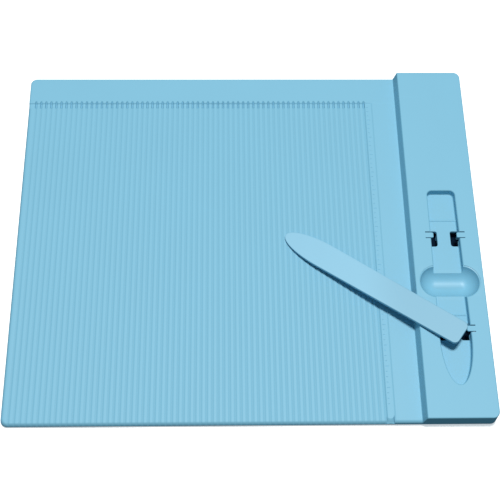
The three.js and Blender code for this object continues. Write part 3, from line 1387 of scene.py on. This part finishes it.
@dataclass
class RubberFoot:
    """A round rubber foot pressed into the underside.

    Attributes:
        node: The node that this piece stands for.
        clearance: Gap between the foot and its seat.
        post_wall: Wall round the seat where the board is hollow.
    """

    node: str
    clearance: float = 0.3
    post_wall: float = 1.6

    def __post_init__(self) -> None:
        """Takes the foot's place and size from its node."""
        low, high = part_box(self.node)
        self.middle = Vector(((low.x + high.x) / 2, (low.y + high.y) / 2, low.z))
        self.radius = (high.x - low.x) / 2 / MM
        self.thickness = (high.z - low.z) / MM

    def _post(self, origin: Vector, radius: float, low: float, high: float) -> Body:
        """An upright cylinder on the foot's axis, in the board's millimetres.

        Args:
            origin: The board's lowest corner in the frame, in metres.
            radius: The cylinder's radius.
            low: Height of its bottom.
            high: Height of its top.

        Returns:
            The cylinder.
        """
        ring = arc((0.0, 0.0), (radius, radius), 0.0, 360.0, 48)[:-1]
        made = Body("cutter", [[(x, y, z) for x, y in ring] for z in (low, high)])
        offset = (self.middle - origin) / MM
        return made.moved(offset.x, offset.y)

    def boss(self, origin: Vector) -> Body:
        """The solid post that carries the foot where the board is hollow."""
        return self._post(origin, self.radius + self.clearance + self.post_wall, -3.0, 20.0)

    def seat(self, origin: Vector) -> Body:
        """The round seat cut into the underside."""
        reach = self.thickness + (self.middle.z - origin.z) / MM + self.clearance
        return self._post(origin, self.radius + self.clearance, -2.0, reach)

    def build(self, finish: bpy.types.Material) -> bpy.types.Object:
        """Makes the foot with a rounded rim and a shallow sucker ring.

        Args:
            finish: Its material.

        Returns:
            The Blender object.
        """
        r, t = self.radius, self.thickness
        profile = [(r * 0.55, 0.18), (r * 0.62, 0.05), (r * 0.7, 0.0), (r - 0.7, 0.0),
                   (r - 0.4, 0.06), (r - 0.15, 0.25), (r - 0.02, 0.5), (r, 0.7), (r, t - 0.1),
                   (r - 0.1, t)]
        circle = arc((0.0, 0.0), (1.0, 1.0), 0.0, 360.0, 56)[:-1]
        rings = [[(x * s, y * s, z) for x, y in circle] for s, z in profile]
        return Body(f"{self.node}_skin", rings).finished(self.middle, finish, 50.0)


# ------------------------------------------------------------------ studio
@dataclass(frozen=True)
class SoftLight:
    """A rectangular soft light that faces the middle of the board.

    Attributes:
        name: Its name.
        place: Where it hangs, in metres.
        size: Its two sides, in metres.
        watts: Its power.
        colour: Linear red, green and blue.
    """

    name: str
    place: Point
    size: Flat
    watts: float
    colour: Colour

    def build(self) -> None:
        """Adds the light."""
        data = bpy.data.lights.new(self.name, "AREA")
        data.shape = "RECTANGLE"
        data.size, data.size_y = self.size
        data.energy = self.watts
        data.color = self.colour
        lamp = bpy.data.objects.new(self.name, data)
        lamp.location = self.place
        lamp.rotation_euler = (-Vector(self.place)).to_track_quat("-Z", "Y").to_euler()
        bpy.context.scene.collection.objects.link(lamp)


@dataclass(frozen=True)
class Studio:
    """Pale table and curtain, a dark sheet of painted shade, soft lights and the camera. Lengths
    are metres.

    Attributes:
        table: The finish of the table and the curtain.
        felt: The finish of the dark sheet under the board: painted shade seen through its windows.
        eye: The camera's place in the frame.
        pitch: How far the camera looks down, in degrees.
        yaw: Turn of its view from +Y towards +X, in degrees.
        roll: Turn about its own axis, in degrees.
        lens_mm: Focal length, in millimetres.
        sensor_mm: Width of the sensor, in millimetres.
        nearest: How close to the camera things are still seen.
        key: A high light, tilted a little towards the back.
        sky: Colour of the even light from all round.
        sky_strength: Its strength.
        table_reach: Half the table's side.
        table_z: Height of the table.
        shade_sheet_inset: Distance from the board's outline to the dark sheet's.
        shade_sheet_z: Height of the dark sheet.
        curtain_foot: Distance from the middle to where the curtain starts to rise.
        curtain_bend: Radius of its bend.
        curtain_height: Height of the curtain.
        curtain_sides: Number of its flat sides.
    """

    table: PaleTable
    felt: PaintedShadeSheet
    eye: Point = (-0.0132, -0.3114, 0.5878)
    pitch: float = 62.53
    yaw: float = 2.784
    roll: float = 2.266
    lens_mm: float = 80.5
    sensor_mm: float = 36.0
    nearest: float = 0.01
    key: SoftLight = SoftLight("key", (0.12, 0.17, 2.60), (0.46, 0.40), 64.0, (1.0, 0.99, 0.97))
    sky: Colour = (0.50, 0.85, 1.0)
    sky_strength: float = 0.19
    table_reach: float = 4.0
    table_z: float = -0.0004
    shade_sheet_inset: float = 0.007
    shade_sheet_z: float = -0.0002
    curtain_foot: float = 3.0
    curtain_bend: float = 0.8
    curtain_height: float = 4.0
    curtain_sides: int = 64

    def build_camera(self) -> None:
        """Adds the camera and makes it the scene's own."""
        pitch, yaw, roll = (math.radians(v) for v in (self.pitch, self.yaw, self.roll))
        ahead = Vector((math.sin(yaw) * math.cos(pitch), math.cos(yaw) * math.cos(pitch),
                        -math.sin(pitch)))
        level = Vector((math.cos(yaw), -math.sin(yaw), 0.0))
        above = level.cross(ahead)
        right = math.cos(roll) * level + math.sin(roll) * above
        up = right.cross(ahead)
        data = bpy.data.cameras.new("camera")
        data.lens = self.lens_mm
        data.sensor_width = self.sensor_mm
        data.clip_start = self.nearest
        camera = bpy.data.objects.new("camera", data)
        turn = Matrix((right, up, -ahead)).transposed().to_4x4()
        camera.matrix_world = Matrix.Translation(self.eye) @ turn
        bpy.context.scene.collection.objects.link(camera)
        bpy.context.scene.camera = camera

    def _sheet(self, name: str, points: Sequence[Point], faces: Sequence[tuple[int, ...]],
               finish: bpy.types.Material) -> bpy.types.Object:
        """Adds one staged sheet that sends no light back to the board.

        Args:
            name: Its name.
            points: Its points, in metres.
            faces: Its faces.
            finish: Its material.

        Returns:
            The Blender object.
        """
        mesh = bpy.data.meshes.new(name)
        mesh.from_pydata(points, [], faces)
        mesh.materials.append(finish)
        sheet = bpy.data.objects.new(name, mesh)
        bpy.context.scene.collection.objects.link(sheet)
        sheet.visible_diffuse = False
        sheet.visible_glossy = False
        return sheet

    def _flat(self, name: str, low: Flat, high: Flat, z: float, finish: bpy.types.Material
              ) -> None:
        """Adds a flat rectangular sheet.

        Args:
            name: Its name.
            low: Its lowest corner.
            high: Its highest corner.
            z: Its height.
            finish: Its material.
        """
        (x0, y0), (x1, y1) = low, high
        self._sheet(name, [(x0, y0, z), (x1, y0, z), (x1, y1, z), (x0, y1, z)], [(0, 1, 2, 3)],
                    finish)

    def build_floor(self, low: Vector, high: Vector) -> None:
        """Adds the table top, the dark sheet of painted shade under the board, and the curtain.

        Args:
            low: The board's lowest corner, in metres.
            high: Its highest corner, in metres.
        """
        pale, far, inset = self.table.material(), self.table_reach, self.shade_sheet_inset
        self._flat("table", (-far, -far), (far, far), self.table_z, pale)
        # The dark sheet under the board is painted shade, seen through the finger windows.
        self._flat("felt", (low.x + inset, low.y + inset), (high.x - inset, high.y - inset),
                   self.shade_sheet_z, self.felt.material())
        self._build_curtain(pale)

    def _build_curtain(self, finish: bpy.types.Material) -> None:
        """Adds the pale curtain that stands round the table and curves into it.

        Args:
            finish: Its material.
        """
        bend, sides = self.curtain_bend, self.curtain_sides
        profile = [(self.curtain_foot + x, z)
                   for x, z in arc((0.0, bend), (bend, bend), 270.0, 360.0, 8)]
        profile.append((self.curtain_foot + bend, self.curtain_height))
        turns = [2 * math.pi * i / sides for i in range(sides)]
        points = [(r * math.cos(a), r * math.sin(a), z) for r, z in profile for a in turns]
        faces = []
        for low in range(0, sides * (len(profile) - 1), sides):
            faces += [(low + k, low + (k + 1) % sides, low + sides + (k + 1) % sides,
                       low + sides + k) for k in range(sides)]
        curtain = self._sheet("backdrop", points, faces, finish)
        curtain.visible_shadow = False
        curtain.data.shade_smooth()

    def build_lights(self) -> None:
        """Adds the key light and a dim even sky."""
        self.key.build()
        world = bpy.data.worlds.new("sky")
        world.use_nodes = True
        background = world.node_tree.nodes["Background"]
        background.inputs["Color"].default_value = self.sky + (1.0,)
        background.inputs["Strength"].default_value = self.sky_strength
        bpy.context.scene.world = world


# ------------------------------------------------------------------ the build
def dress(piece: bpy.types.Object, body: str, node: str) -> None:
    """Ties a finished piece to its body and the node that it stands for.

    Args:
        piece: The piece.
        body: The body that it moves with.
        node: The node that it replaces.
    """
    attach(piece, body)
    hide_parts(node)
    LOG.info("%s: %d faces, rides on %s", piece.name, len(piece.data.polygons), body)


def main() -> None:
    """Builds every piece in order."""
    logging.basicConfig(level=logging.INFO, format="%(name)s %(message)s")
    bpy.context.scene.view_settings.view_transform = "Standard"
    low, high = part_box("board_moulding")
    size = (high - low) / MM
    places = [(end, side) for end in ("front", "rear") for side in Side]
    feet = [RubberFoot(f"{end}_{side.name.lower()}_foot") for end, side in places]
    board = BoardMoulding(origin=low, width=size.x, depth=size.y, block_height=size.z)

    rubbed = (
        EdgeLine(Axis.X, low.x + board.block_x * MM),
        EdgeLine(Axis.X, high.x),
        EdgeLine(Axis.Y, low.y + board.fence_y * MM),
    )
    # The deck's grooves get card dust and painted shade below the field's top.
    board_plastic = MouldedPlastic(
        "board_plastic", BOARD_BLUE, dust_and_shade_z_m=low.z + board.thickness * MM, rubbed=rubbed,
        polished=(board.scoop_patch(),)).material()
    folder_plastic = MouldedPlastic(
        "folder_plastic", FOLDER_BLUE, roughness=0.52, grain_height_m=0.003 * MM,
        scuffs=0.9, pale_from_m=0.092, pale_to_m=0.062).material()
    rubber = FootRubber("foot_rubber", RUBBER_BLACK).material()

    dress(board.build(board_plastic, feet), "board", "board_moulding")
    for end, side in places:
        name = f"{end}_{side.name.lower()}"
        finger = SnapFinger(f"{name}_snap_finger", f"{name}_finger", side, high.z)
        dress(finger.build(board_plastic), finger.body, finger.node)
    folder = BoneFolder("bone_folder", board.block_height - board.thickness)
    dress(folder.build(folder_plastic), "folder", folder.node)
    for foot in feet:
        dress(foot.build(rubber), "board", foot.node)

    studio = Studio(PaleTable("pale_table", TABLE_WHITE), PaintedShadeSheet("dark_felt", SHADE_SHEET_INK))
    studio.build_floor(low, high)
    studio.build_lights()
    studio.build_camera()


if __name__ == "__main__":
    main()
